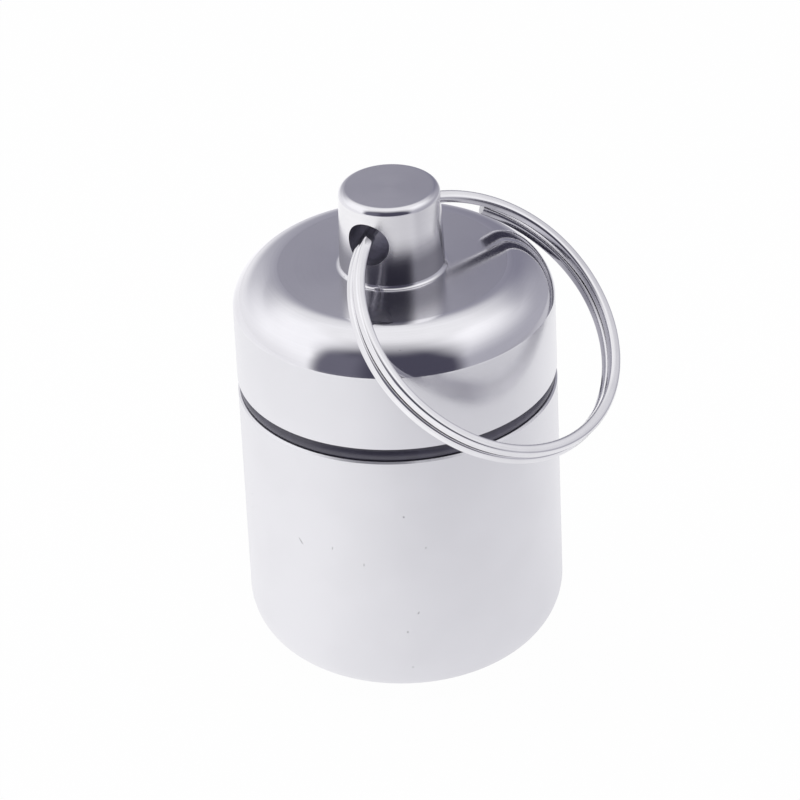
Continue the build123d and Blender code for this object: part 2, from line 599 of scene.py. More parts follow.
    @staticmethod
    def build_drawn() -> bpy.types.NodeTree:
        """Lines along a drawn wire: noise that is fine across it and long along it, from the wire's marks.

        The way round the wire enters as a cosine and a sine, so the lines close on themselves.

        Returns:
            The group, with fine and broad lines as values about one half, and the angle from the inner side.
        """
        sheet, given = open_group("drawn lines", lines_round=9.0, length=12.0, radius=0.5)
        along, round_it = sheet.marks()[:2]
        turn = sheet.math("DIVIDE", round_it, given["Radius"])
        spread = sheet.math("DIVIDE", given["Lines Round"], 6.28)
        circle = [sheet.times(sheet.math(way, turn), spread) for way in ("COSINE", "SINE")]
        place = sheet.joined(*circle, sheet.math("DIVIDE", along, given["Length"]))
        fine, broad = sheet.noise(place, 2.2, 3.0, 0.6), sheet.noise(place, 0.6, 1.0, 0.6)
        inner = sheet.math("ABSOLUTE", sheet.less(turn, np.pi))
        return close_group(sheet, fine=fine, broad=broad, inner=inner)


# Finishes


@dataclass(frozen=True)
class Finish:
    """What every finish has.

    Attributes:
        name: Name of the material.
        colour: Its colour.
        roughness: How wide it spreads a reflection.
    """

    name: str
    colour: Colour
    roughness: float

    def feed(self, sheet: Sheet, effects: Effects) -> None:
        """Fills the material's tree, in the finish's own way."""
        raise NotImplementedError

    def material(self, effects: Effects) -> bpy.types.Material:
        """Makes the material.

        Args:
            effects: The shared groups.

        Returns:
            The material.
        """
        material, sheet = new_material(self.name)
        self.feed(sheet, effects)
        return material


@dataclass(frozen=True)
class Nick:
    """One mark on a wall: its angle round the axis, its height, its size and its lean."""

    azimuth: float
    height: float
    length: float
    width: float
    lean: float = 0.0


@dataclass(frozen=True)
class SatinMetal(Finish):
    """Finely blasted and clear-anodised aluminium of the two walls.

    Attributes:
        edges: Heights of the edges that are rubbed bright.
        nicks: The marks that can be seen one by one.
    """

    colour: Colour = (0.85, 0.847, 0.87)
    roughness: float = 0.26
    edges: tuple[float, ...] = ()
    nicks: tuple[Nick, ...] = ()

    def feed(self, sheet: Sheet, effects: Effects) -> None:
        """Grain and clouds, faint scratches, specks and nicks, and brighter, smoother edges.

        Args:
            sheet: The material's sheet.
            effects: The shared groups.
        """
        grain = sheet.group(effects.grain, grain_density=7.0, cloud_density=0.16)
        lines = sheet.group(effects.turning, line_density=7.0, waver=0.8)["Lines"]
        wear = sheet.group(effects.wear, scratch_density=0.42, speck_density=0.45, share=0.16)
        marks, scratches, rubbed = wear["Specks"], wear["Scratches"], 0.0
        for nick in self.nicks:
            marks = sheet.math("MAXIMUM", marks, sheet.group(effects.nick, **vars(nick))["Mask"])
        for height in self.edges:
            band = sheet.group(effects.band, height=height, width=0.22, gaps=0.6)["Mask"]
            rubbed = sheet.math("MAXIMUM", rubbed, band)
        colour = sheet.toned(
            self.colour, (grain["Clouds"], 0.35, 0.65, 1.025), (grain["Grain"], 0.3, 0.7, 0.985),
            (scratches, 0.0, 1.0, 0.965), (marks, 0.0, 1.0, 0.80), (rubbed, 0.0, 1.0, 1.05),
        )
        spread = sheet.plus(self.roughness - 0.02, sheet.times(grain["Clouds"], 0.04))
        spread = sheet.less(sheet.less(spread, sheet.times(rubbed, 0.10)), sheet.times(scratches, 0.05))
        heights = [(grain["Grain"], 0.0022), (lines, 0.0004), (marks, -0.02), (scratches, -0.002)]
        sheet.dress(colour, spread, heights, Metallic=1.0)


@dataclass(frozen=True)
class TurnedPolish(Finish):
    """Polished aluminium with the lathe's fine rings in it, which draw reflections out across the rings.

    Attributes:
        anisotropy: How much more it spreads a reflection across the rings than along them.
        foot_colour: Colour painted on its lower part as shade, where the wall shows much darker.
        foot: The two heights between which the painted shade at its foot gives way.
    """

    colour: Colour = (0.93, 0.925, 0.95)
    roughness: float = 0.10
    anisotropy: float = 0.8
    foot_colour: Colour | None = None
    foot: tuple[float, float] = (0.0, 1.0)

    def feed(self, sheet: Sheet, effects: Effects) -> None:
        """Rings, clouds, faint scratches and specks, and painted shade at its foot where it has one.

        Args:
            sheet: The material's sheet.
            effects: The shared groups.
        """
        turning = sheet.group(effects.turning, line_density=9.0, waver=0.5)
        clouds = sheet.group(effects.grain, grain_density=3.0, cloud_density=0.22)["Clouds"]
        wear = sheet.group(effects.wear, scratch_density=0.5, speck_density=0.5, share=0.14)
        colour = sheet.toned(
            self.colour, (clouds, 0.35, 0.65, 0.975), (turning["Lines"], 0.3, 0.7, 0.975),
            (wear["Scratches"], 0.0, 1.0, 0.93), (wear["Specks"], 0.0, 1.0, 0.80),
        )
        # Painted shade: below the foot heights the side takes a much darker colour, with a ragged edge from
        # the clouds.
        if self.foot_colour is not None:
            ragged_shade_edge = sheet.plus(sheet.millimetres()[1][2], sheet.times(sheet.less(clouds, 0.5), 0.9))
            foot = sheet.toned(self.foot_colour, (turning["Lines"], 0.3, 0.7, 0.93))
            colour = sheet.mix(sheet.span(ragged_shade_edge, *self.foot), foot, colour)
        spread = sheet.plus(self.roughness * 0.9, sheet.times(turning["Unevenness"], self.roughness * 0.2))
        heights = [(turning["Lines"], 0.0002), (wear["Scratches"], -0.0006), (wear["Specks"], -0.002)]
        drawn_out = {"Anisotropic": self.anisotropy, "Anisotropic_Rotation": 0.25}
        metal = sheet.dress(colour, spread, heights, Metallic=1.0, **drawn_out)
        round_axis = sheet.node("Tangent", direction_type="RADIAL", axis="Z")
        sheet.tree.links.new(round_axis.outputs[0], metal.inputs["Tangent"])


@dataclass(frozen=True)
class CutMetal(Finish):
    """Metal left as the tool cut it: bores, threads, the drilled hole and the wire's ends.

    Attributes:
        grain_depth: Depth of its torn grain.
        line_depth: Depth of its tool lines.
        line_density: How many tool lines lie in a millimetre.
    """

    grain_depth: float = 0.002
    line_depth: float = 0.003
    line_density: float = 3.0

    def feed(self, sheet: Sheet, effects: Effects) -> None:
        """Tool lines, torn grain and clouds.

        Args:
            sheet: The material's sheet.
            effects: The shared groups.
        """
        lines = sheet.group(effects.turning, line_density=self.line_density, waver=1.2)["Lines"]
        grain = sheet.group(effects.grain, grain_density=4.5, cloud_density=0.8)
        torn, clouds = grain["Grain"], grain["Clouds"]
        changes = ((lines, 0.35, 0.65, 0.88), (clouds, 0.4, 0.65, 0.86), (torn, 0.45, 0.7, 0.92))
        colour = sheet.toned(self.colour, *changes)
        spread = sheet.plus(self.roughness - 0.06, sheet.times(torn, 0.12))
        sheet.dress(colour, spread, [(torn, self.grain_depth), (lines, self.line_depth)], Metallic=1.0)


@dataclass(frozen=True)
class WireSteel(Finish):
    """Nickel-plated flattened wire with lengthwise lines and painted shade on its inner side, except opposite
    the knob's hole.

    Attributes:
        inner_colour: Its colour where shade is painted on the inner side.
        radius: The wire's radius, by which lengths round it become angles.
        ring_radius: The ring's radius, by which lengths along the wire become angles.
        start: Angle from the ring's X axis at which the wire starts. The hole is at 90.
        rubbed: Angles from the hole between which the painted inner shade ends along the ring.
        side: Angles from the middle of the inner side between which the painted shade ends, in radians.
    """

    colour: Colour = (0.985, 0.98, 0.995)
    roughness: float = 0.10
    inner_colour: Colour = (0.48, 0.475, 0.52)
    radius: float = 0.5
    ring_radius: float = 11.69
    start: float = 42.2
    rubbed: tuple[float, float] = (104.0, 120.0)
    side: tuple[float, float] = (0.55, 0.95)

    def feed(self, sheet: Sheet, effects: Effects) -> None:
        """Drawn lines, clouds, scratches, specks, and painted shade on the inner side, in stretches set by the
        sine of the angle along the ring.

        Args:
            sheet: The material's sheet.
            effects: The shared groups.
        """
        drawn = sheet.group(effects.drawn, lines_round=10.0, length=14.0, radius=self.radius)
        wear = sheet.group(effects.wear, scratch_density=0.8, speck_density=0.9, share=0.22)
        clouds = sheet.group(effects.grain, grain_density=5.0, cloud_density=0.3)["Clouds"]
        colour = sheet.toned(
            self.colour, (drawn["Fine"], 0.35, 0.7, 0.94), (drawn["Broad"], 0.35, 0.65, 0.95),
            (clouds, 0.4, 0.65, 0.96), (wear["Specks"], 0.0, 1.0, 0.75),
        )
        # Painted shade on the wire's inner side, where the turns face each other; it is left off on the part
        # of the ring opposite the hole.
        painted_inner_shade = sheet.mix(sheet.times(drawn["Broad"], 0.45), (*self.inner_colour, 1.0), colour)
        ragged_shade_edge = sheet.plus(drawn["Inner"], sheet.times(sheet.less(drawn["Broad"], 0.5), 0.5))
        angle = sheet.less(np.radians(self.start), sheet.math("DIVIDE", sheet.marks()[0], self.ring_radius))
        near, far = (float(np.cos(np.radians(limit))) for limit in self.rubbed)
        unshaded = sheet.less(1.0, sheet.span(sheet.math("SINE", angle), far, near))
        colour = sheet.mix(sheet.math("MAXIMUM", sheet.span(ragged_shade_edge, *self.side), unshaded), painted_inner_shade, colour)
        spread = sheet.plus(self.roughness * 0.7, sheet.times(drawn["Fine"], self.roughness * 0.6))
        spread = sheet.plus(spread, sheet.times(wear["Scratches"], 0.12))
        heights = [(drawn["Fine"], 0.0012), (drawn["Broad"], 0.006), (wear["Scratches"], -0.001)]
        sheet.dress(colour, spread, heights, Metallic=1.0)


@dataclass(frozen=True)
class SealRubber(Finish):
    """Black moulded rubber with a dusty bloom."""

    colour: Colour = (0.085, 0.081, 0.115)
    roughness: float = 0.36

    def feed(self, sheet: Sheet, effects: Effects) -> None:
        """Grain, a pale bloom in clouds, and specks of dust.

        Args:
            sheet: The material's sheet.
            effects: The shared groups.
        """
        grain = sheet.group(effects.grain, grain_density=8.0, cloud_density=0.6)
        specks = sheet.group(effects.wear, scratch_density=0.6, speck_density=1.1, share=0.3)["Specks"]
        colour = sheet.toned(self.colour, (grain["Clouds"], 0.4, 0.7, 1.35), (specks, 0.0, 1.0, 3.5))
        spread = sheet.plus(self.roughness - 0.06, sheet.times(grain["Clouds"], 0.12))
        sheet.dress(colour, spread, [(grain["Grain"], 0.004)], Metallic=0.0, Specular_IOR_Level=0.85)


# The capsule


def soft_step(share: np.ndarray) -> np.ndarray:
    """Soft step from 0 to 1: three times the square less twice the cube."""
    share = np.clip(share, 0.0, 1.0)
    return share * share * (3 - 2 * share)


@dataclass(frozen=True)
class Thread:
    """The screw: a rounded ridge that climbs one pitch a turn, counter-clockwise seen from above.

    Attributes:
        pitch: Climb in one turn.
        depth: Height of the ridge over its root.
        fade: Length over which the ridge runs out at each end.
        sharpness: Power of the wave that forms the ridge: above 1 its root is wider than its crest.
        run_in: How soon the ridge reaches its full height as it runs out of the fade.
        cell: Height of a cell.
    """

    pitch: float = 1.0
    depth: float = 0.5
    fade: float = 0.7
    sharpness: float = 1.35
    run_in: float = 1.6
    cell: float = 0.06

    def surface(
        self, root: float, low: float, high: float, outward: float, finish: int, phase: float = 0.0
    ) -> Patch:
        """The threaded wall: root radius plus a ridge, a wave of height over pitch less angle over a turn.

        Its normals are the cross products of its differences along rows and columns.

        Args:
            root: Radius of the wall between the ridges, on the side of the metal.
            low: Lower end of the wall.
            high: Upper end of the wall.
            outward: 1 where the metal is inside the wall, -1 where it is outside.
            finish: Which of the piece's finishes it wears.
            phase: Angle of the first column.

        Returns:
            The surface.
        """
        angle = np.radians(phase) + np.linspace(0.0, ROUND, TURNS + 1)[None, :]
        height = np.linspace(low, high, int((high - low) / self.cell) + 1)[:, None]
        climb = height / self.pitch - angle / ROUND + (0.0 if outward > 0 else 0.5)
        ridge = (0.5 + 0.5 * np.cos(ROUND * climb)) ** self.sharpness
        foot, head = (np.clip(gap / self.fade, 0, 1) for gap in (height - low, high - height))
        radius = root + outward * self.depth * ridge * np.clip(soft_step(foot * head) * self.run_in, 0, 1)
        points = around(radius, angle, height)
        points[:, -1] = points[:, 0]
        facing = outward * around(1.0, angle, 0 * height)
        normals = np.cross(np.gradient(points, axis=0), np.gradient(points, axis=1))
        normals /= np.maximum(np.linalg.norm(normals, axis=-1, keepdims=True), TINY)
        normals *= np.sign((normals * facing).sum(-1, keepdims=True))
        normals[:, 0] = normals[:, -1] = normals[:, 0] + normals[:, -1]
        normals /= np.linalg.norm(normals, axis=-1, keepdims=True)
        return Patch(points, normals, finish)


class CupZone(Enum):
    """The finishes of the cup, in the order of its materials."""

    SATIN = 0
    BORE = 1


@dataclass
class Cup:
    """The cup: rounded base, straight wall, shoulder with the seal's seat, threaded neck and pill chamber."""

    radius: float = 13.0
    height: float = 23.5
    base_round: float = 4.6
    shoulder_break: float = 0.14
    floor_thickness: float = 2.6
    bore_radius: float = 9.9
    bore_round: float = 1.6
    neck_radius: float = 10.8
    neck_top: float = 30.5
    neck_lead: float = 0.35
    mouth_break: float = 0.2
    seal_height: float = 23.93
    seal_radius: float = 0.65
    seal_ring_radius: float = 12.2
    seal_fit: float = 0.05
    thread: Thread = field(default_factory=Thread)

    def profile(self) -> list[Run]:
        """The turned profile without its thread, from the middle of the base to the middle of the floor.

        The seal's seat is the part of a circle about the seal's middle that lies under the shoulder.

        Returns:
            The stretches in order.
        """
        satin, bore = CupZone.SATIN.value, CupZone.BORE.value
        seat = self.seal_radius + self.seal_fit
        seat_angle = np.degrees(np.arcsin((self.height - self.seal_height) / seat))
        seat_edge = self.seal_ring_radius + seat * np.cos(np.radians(seat_angle))
        seat_inside = self.seal_ring_radius - seat
        neck_foot = self.seal_height + self.seal_radius
        wall_top, mouth = self.height - self.shoulder_break, self.neck_top - self.mouth_break
        base_middle, bore_middle = self.radius - self.base_round, self.bore_radius - self.bore_round
        bore_foot = self.floor_thickness + self.bore_round
        shoulder = [
            (self.radius, wall_top),
            (self.radius - self.shoulder_break, self.height),
            (seat_edge, self.height),
        ]
        neck = [
            (seat_inside, self.seal_height),
            (seat_inside, neck_foot),
            (self.neck_radius, neck_foot + self.thread.depth),
        ]
        lip = [
            (self.neck_radius, self.neck_top - self.neck_lead),
            (self.neck_radius - self.neck_lead, self.neck_top),
            (self.bore_radius + self.mouth_break, self.neck_top),
            (self.bore_radius, mouth),
        ]
        return [
            straight((0, 0), (base_middle, 0), 24, satin),
            arc((base_middle, self.base_round), self.base_round, -90, 0, 48, satin),
            straight((self.radius, self.base_round), (self.radius, wall_top), 40, satin),
            *chain(shoulder, satin),
            arc((self.seal_ring_radius, self.seal_height), seat, seat_angle, -180, 24, bore),
            *chain(neck, bore),
            *chain(lip, bore),
            straight((self.bore_radius, mouth), (self.bore_radius, bore_foot), 30, bore),
            arc((bore_middle, bore_foot), self.bore_round, 0, -90, 16, bore),
            straight((bore_middle, self.floor_thickness), (0, self.floor_thickness), 24, bore),
        ]

    def build(self, satin: bpy.types.Material, bore: bpy.types.Material) -> bpy.types.Object:
        """Makes the cup and puts it in place of the plain one.

        Args:
            satin: Finish of the outside.
            bore: Finish of the shoulder, the neck and the chamber.

        Returns:
            The cup.
        """
        low, high = self.seal_height + self.seal_radius + self.thread.depth, self.neck_top - self.neck_lead
        patches = [turned(run) for run in self.profile()]
        patches.append(self.thread.surface(self.neck_radius, low, high, 1.0, CupZone.BORE.value))
        piece = piece_from("cup_shell", patches, [satin, bore])
        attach(piece, "cup")
        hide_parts("cup")
        return piece


class CapZone(Enum):
    """The finishes of the cap, in the order of its materials."""

    SATIN = 0
    DOME = 1
    FLAT = 2
    KNOB = 3
    BORE = 4
    DRILLED = 5
    TOP = 6


@dataclass
class Cap:
    """The cap: satin wall, polished dome, flat and knob, cross hole through the knob, threaded hollow."""

    radius: float = 13.0
    rim: float = 24.63
    rim_break: float = 0.1
    rim_lead: float = 0.25
    edge: float = 31.3
    top: float = 34.3
    flat_radius: float = 9.25
    roof: float = 32.0
    roof_round: float = 0.8
    bore_radius: float = 11.4
    knob_top: float = 41.3
    knob_base_radius: float = 4.26
    knob_top_radius: float = 4.06
    knob_top_round: float = 0.58
    knob_foot_round: float = 0.3
    hole_radius: float = 1.8
    hole_height: float = 38.1
    hole_azimuth: float = 61.7
    hole_cells: int = 24
    hole_crowding: float = 1.5
    thread: Thread = field(default_factory=Thread)

    def knob_slope(self) -> float:
        """How much the knob narrows for each unit of height."""
        return (self.knob_base_radius - self.knob_top_radius) / (self.knob_top - self.top)

    def knob_lean(self) -> float:
        """Angle of the knob's tapered side from upright, in radians."""
        return float(np.arctan(self.knob_slope()))

    def side_radius(self, height: np.ndarray | float) -> np.ndarray | float:
        """Radius of the knob's tapered side at a height."""
        return self.knob_base_radius - self.knob_slope() * (height - self.top)

    def knob_ends(self) -> tuple[float, float]:
        """Heights at which the knob's tapered side meets its foot round and its top round."""
        share = 1 - np.sin(self.knob_lean())
        return self.top + self.knob_foot_round * share, self.knob_top - self.knob_top_round * share

    def outside(self) -> list[Run]:
        """The turned outside without the knob's tapered side, from the rim's lead to the knob's top.

        The dome's arc leaves the flat level and reaches the wall's edge. Its radius is the sum of the squares
        of its width and its drop over twice its drop.

        Returns:
            The stretches in order.
        """
        satin, dome = CapZone.SATIN.value, CapZone.DOME.value
        lean = self.knob_lean()
        low, high = self.knob_ends()
        foot, crown = self.knob_foot_round, self.knob_top_round
        foot_centre = (self.side_radius(low) + foot * np.cos(lean), self.top + foot)
        crown_centre = (self.side_radius(high) - crown * np.cos(lean), self.knob_top - crown)
        drop = self.top - self.edge
        radius = ((self.radius - self.flat_radius) ** 2 + drop**2) / (2 * drop)
        start = np.degrees(np.arcsin((self.edge - (self.top - radius)) / radius))
        wall_foot = (self.radius, self.rim + self.rim_break)
        lead = (self.bore_radius + self.rim_lead, self.rim)
        rim = [lead, (self.radius - self.rim_break, self.rim), wall_foot]
        return [
            *chain(rim, satin),
            straight(wall_foot, (self.radius, self.edge), 24, satin),
            arc((self.flat_radius, self.top - radius), radius, start, 90, 64, dome),
            straight((self.flat_radius, self.top), (foot_centre[0], self.top), 16, CapZone.FLAT.value),
            arc(foot_centre, foot, 270, 180 + np.degrees(lean), 12, dome),
            arc(crown_centre, crown, np.degrees(lean), 90, 16, dome),
            straight((crown_centre[0], self.knob_top), (0, self.knob_top), 8, CapZone.TOP.value),
        ]

    def inside(self) -> list[Run]:
        """The turned hollow without its threaded wall, from the middle of the roof to the rim.

        Returns:
            The stretches in order.
        """
        bore = CapZone.BORE.value
        middle = self.bore_radius - self.roof_round
        lead = (self.bore_radius + self.rim_lead, self.rim)
        return [
            straight((0, self.roof), (middle, self.roof), 24, bore),
            arc((middle, self.roof - self.roof_round), self.roof_round, 90, 0, 10, bore),
            straight((self.bore_radius, self.rim + self.rim_lead), lead, 1, bore),
        ]

    def knob_side(self) -> list[Patch]:
        """The knob's tapered side and its cross hole.

        Unrolled to angle and height, each half of the side is a rectangle with an opening. The opening is
        where the hole's circle, hole radius times cosine across and sine up, meets the taper: its angle is the
        arcsine of the way across over the taper's radius at that height. A cell grid runs from the opening
        straight out to the rectangle and is closer at the opening. The hole's own wall joins the two openings
        with straight lines.

        Returns:
            The two halves of the side and the wall of the hole.
        """
        low, high = self.knob_ends()
        lean, cells = self.knob_lean(), self.hole_cells
        wide, tall = (np.linspace(-1, 1, count + 1)[:-1] for count in (TURNS // 2, cells))
        u = np.concatenate([wide, np.ones(cells), -wide, -np.ones(cells), [-1]])
        v = np.concatenate([-np.ones(TURNS // 2), tall, np.ones(TURNS // 2), -tall, [-1]])
        border_angle = u * np.pi / 2
        border_height = (low + high) / 2 + v * (high - low) / 2
        turn = np.arctan2(border_height - self.hole_height, border_angle * self.knob_base_radius)
        mouth_height = self.hole_height + self.hole_radius * np.sin(turn)
        sideways = self.hole_radius * np.cos(turn)
        mouth_angle = np.arcsin(sideways / self.side_radius(mouth_height))
        share = np.linspace(0.0, 1.0, cells + 1)[:, None] ** self.hole_crowding
        height = mouth_height * (1 - share) + border_height * share
        radius = self.side_radius(height)
        patches = []
        for half in (0.0, 180.0):
            at = np.radians(self.hole_azimuth + half) + mouth_angle * (1 - share) + border_angle * share
            normals = around(np.cos(lean), at, np.sin(lean))
            patches.append(Patch(around(radius, at, height), normals, CapZone.KNOB.value))
        azimuth = np.radians(self.hole_azimuth)
        axis = np.array([np.cos(azimuth), np.sin(azimuth), 0.0])
        side = np.array([-np.sin(azimuth), np.cos(azimuth), 0.0])
        mouth = np.sqrt(self.side_radius(mouth_height) ** 2 - sideways**2)
        depth = np.linspace(1.0, -1.0, cells + 1)[:, None] * mouth
        points = depth[..., None] * axis + sideways[:, None] * side
        points[..., 2] += mouth_height
        inward = -(np.cos(turn)[:, None] * side + np.sin(turn)[:, None] * np.array([0.0, 0.0, 1.0]))
        patches.append(Patch(points, np.broadcast_to(inward, points.shape).copy(), CapZone.DRILLED.value))
        return patches

    def build(self, finishes: dict[CapZone, bpy.types.Material]) -> bpy.types.Object:
        """Makes the cap and puts it in place of the plain one.

        Its first column lies a quarter turn before the hole, where the two halves of the knob's side meet.

        Args:
            finishes: Its materials.

        Returns:
            The cap.
        """
        phase = self.hole_azimuth - 90
        low, high = self.rim + self.rim_lead, self.roof - self.roof_round
        patches = [turned(run, phase) for run in (*self.outside(), *self.inside())] + self.knob_side()
        patches.append(self.thread.surface(self.bore_radius, low, high, -1.0, CapZone.BORE.value, phase))
        piece = piece_from("cap_shell", patches, [finishes[zone] for zone in CapZone])
        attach(piece, "cap")
        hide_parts("cap")
        return piece


@dataclass
class Seal:
    """The rubber ring between the cup's shoulder and the cap's rim."""

    height: float = 23.93
    ring_radius: float = 12.2
    cord_radius: float = 0.65

    def build(self, rubber: bpy.types.Material) -> bpy.types.Object:
        """Makes the seal: a circle of the cord's radius carried round the axis at the ring's radius.

        Args:
            rubber: Its finish.

        Returns:
            The seal.
        """
        patch = turned(arc((self.ring_radius, self.height), self.cord_radius, -180, 180, 48))
        piece = piece_from("seal_ring", [patch], [rubber])
        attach(piece, "seal")
        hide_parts("o_ring")
        return piece


@dataclass
class SplitRing:
    """The split ring: one wire in two turns, hanging through the knob's hole and resting on the dome.

    Attributes:
        wire_radius: Half the wire's width from corner to corner.
        flattening: How square the wire's section is: the power of its superellipse, a circle at 2.
        facet: How flat its four sides look: the power of the cosine and sine that make its normal.
        crowding: How far the section's columns crowd towards its corners, in radians.
        cells_along: Number of cells along the wire.
        cells_round: Number of cells round it.
        oval: How far the ring is out of round.
        coil_pitch: Distance from one turn to the next.
        low_end: Angle of the wire's lower end.
        high_end: Angle of its upper end.
        crossing: Angle over which one turn crosses to the other.
        end_spring: How far the lower end springs down.
        end_spring_angle: Angle over which it springs.
        play: How far the ring hangs below the hole's axis.
        shift: How far it stands off its plane.
        skew: How far its plane turns in the hole.
        tip: How far its plane tips in the hole.
        lean: How far it leans about the hole's axis.
    """

    wire_radius: float = 0.5
    flattening: float = 2.35
    facet: float = 3.0
    crowding: float = 0.13
    cells_along: int = 360
    cells_round: int = 48
    ring_radius: float = 11.69
    oval: float = 0.26
    coil_pitch: float = 1.02
    low_end: float = 42.2
    high_end: float = 109.5
    crossing: float = 104.0
    end_spring: float = 0.3
    end_spring_angle: float = 60.0
    play: float = 0.47
    shift: float = 0.54
    skew: float = 8.9
    tip: float = 6.5
    lean: float = 36.9385
    hole_height: float = 38.1
    hole_azimuth: float = 61.7

    def place(self) -> Matrix:
        """Where the ring's own frame lies: its X axis along the hole, leaned about it, tipped and shifted.

        Returns:
            The frame as a matrix.
        """
        azimuth, lean = np.radians(self.hole_azimuth), np.radians(self.lean)
        along = Vector((np.cos(azimuth), np.sin(azimuth), 0.0))
        outward = along.cross(Vector((0.0, 0.0, 1.0)))
        normal = outward * np.sin(lean) + Vector((0.0, 0.0, 1.0)) * np.cos(lean)
        square = Matrix((along, normal.cross(along), normal)).transposed().to_4x4()
        square.translation = (0.0, 0.0, self.hole_height)
        tipped = Matrix.Rotation(np.radians(-self.tip), 4, "Y")
        skewed = Matrix.Rotation(np.radians(-self.skew), 4, "Z")
        return square @ tipped @ skewed @ Matrix.Translation((0.0, self.play - self.ring_radius, self.shift))

    def centre_line(self, travel: np.ndarray) -> np.ndarray:
        """Centre of the wire: a circle of the ring's radius, run clockwise from the lower end.

        It is a little out of round, by the sine of twice the angle. Its level starts half a pitch low, springs
        a little lower at the free end, and climbs one pitch in a soft step where the turns cross.

        Args:
            travel: Angle along the wire from its lower end.

        Returns:
            The points.
        """
        angle = np.radians(self.low_end - travel)
        climb = self.coil_pitch * soft_step((travel - (self.low_end + 360 - self.high_end)) / self.crossing)
        spring = self.end_spring * (1 - soft_step(travel / self.end_spring_angle))
        level = climb - self.coil_pitch / 2 - spring
        return around(self.ring_radius + self.oval * np.sin(2 * angle), angle, level)

    def section(self) -> tuple[np.ndarray, np.ndarray, np.ndarray]:
        """The wire's section: a superellipse whose corners lie at the wire's radius.

        Its distance from the middle is the wire's radius over the root of the sum of the powers of cosine and
        sine, scaled to 1 at the corners. Its columns crowd at the corners, by the sine of four times their
        angle. The normal follows a higher power of cosine and sine, so that the sides look flat.

        Returns:
            Each column's direction, distance and normal, as parts out of the ring and along its axis.
        """
        turn = np.linspace(0.0, ROUND, self.cells_round + 1)
        turn[-1] = 0.0
        turn = turn + self.crowding * np.sin(4 * turn)
        spoke = np.stack([np.cos(turn), np.sin(turn)], -1)
        power = self.flattening
        size = (np.abs(spoke) ** power).sum(-1) ** (1 / power)
        reach = self.wire_radius * 2 ** (1 / power - 0.5) / size
        normal = np.sign(spoke) * np.abs(spoke) ** self.facet
        return spoke, reach, normal / np.linalg.norm(normal, axis=-1, keepdims=True)

    def build(self, steel: bpy.types.Material, cut: bpy.types.Material) -> bpy.types.Object:
        """Makes the ring: the wire's section carried along the centre line, with flat cut ends.

        Args:
            steel: Finish of the wire.
            cut: Finish of its cut ends.

        Returns:
            The ring.
        """
        travel = np.linspace(0.0, self.low_end + 720 - self.high_end, self.cells_along + 1)
        centre = self.centre_line(travel)
        nudge = 0.01
        tangent = self.centre_line(travel + nudge) - self.centre_line(travel - nudge)
        tangent /= np.linalg.norm(tangent, axis=-1, keepdims=True)
        outward = centre * (1.0, 1.0, 0.0)
        outward -= (outward * tangent).sum(-1, keepdims=True) * tangent
        outward /= np.linalg.norm(outward, axis=-1, keepdims=True)
        sides = np.stack([outward, np.cross(tangent, outward)], -2)
        spoke, reach, normal = self.section()
        arm = (spoke @ sides) * reach[:, None]
        length = np.radians(travel)[:, None] * self.ring_radius
        girth = np.linspace(0.0, ROUND, self.cells_round + 1)[None, :] * self.wire_radius
        marks = np.stack(np.broadcast_arrays(length, girth), -1)
        local = [(centre[:, None] + arm, normal @ sides, 0, marks)]
        for end, sign in ((0, -1.0), (-1, 1.0)):
            disc = centre[end] + arm[end] * np.array([1.0, 0.5, 0.0])[:, None, None]
            facing = np.broadcast_to(tangent[end] * sign, disc.shape)
            local.append((disc, facing, 1, np.zeros((*disc.shape[:2], 2))))
        place = np.array(self.place())
        patches = [
            Patch(points @ place[:3, :3].T + place[:3, 3], facing @ place[:3, :3].T, finish, mark)
            for points, facing, finish, mark in local
        ]
        piece = piece_from("ring_wire", patches, [steel, cut])
        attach(piece, "split_ring")
        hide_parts("split_ring")
        return piece


# The studio


@dataclass(frozen=True)
class Panel:
    """A soft-edged part of the light tent or of the paper, with a tone of its own.

    Attributes:
        name: What it is.
        middle: Direction of its middle, to the right of the front.
        half_width: Half its width.
        side_softness: Half the width of its side edges.
        low: Its lower edge: an angle above the horizon on the tent, a distance from the axis on the paper.
        high: Its upper edge.
        low_softness: Half the width of its lower edge.
        high_softness: Half the width of its upper edge.
        colour: What it shows.
        flare: How much softer its side edges grow with each degree above 20.
    """

    name: str
    middle: float
    half_width: float
    side_softness: float
    low: float
    high: float
    low_softness: float
    high_softness: float
    colour: Colour
    flare: float = 0.0


def lay(
    sheet: Sheet, effects: Effects, ground: Colour, panels: tuple[Panel, ...], turn: Socket, rise: Socket
) -> Any:
    """Lays panels over a ground, each over the ones before it.

    Args:
        sheet: The sheet of the material.
        effects: The shared groups.
        ground: Colour of the ground.
        panels: The panels.
        turn: Direction of the place, to the right of the front.
        rise: Its angle above the horizon or its distance.

    Returns:
        The colour.
    """
    tone: Any = (*ground, 1.0)
    for panel in panels:
        limits = {key: value for key, value in vars(panel).items() if key not in ("name", "colour")}
        mask = sheet.group(effects.patch, turn=turn, rise=rise, **limits)["Mask"]
        tone = sheet.mix(mask, tone, (*panel.colour, 1.0))
        tone.node.label = panel.name
    return tone


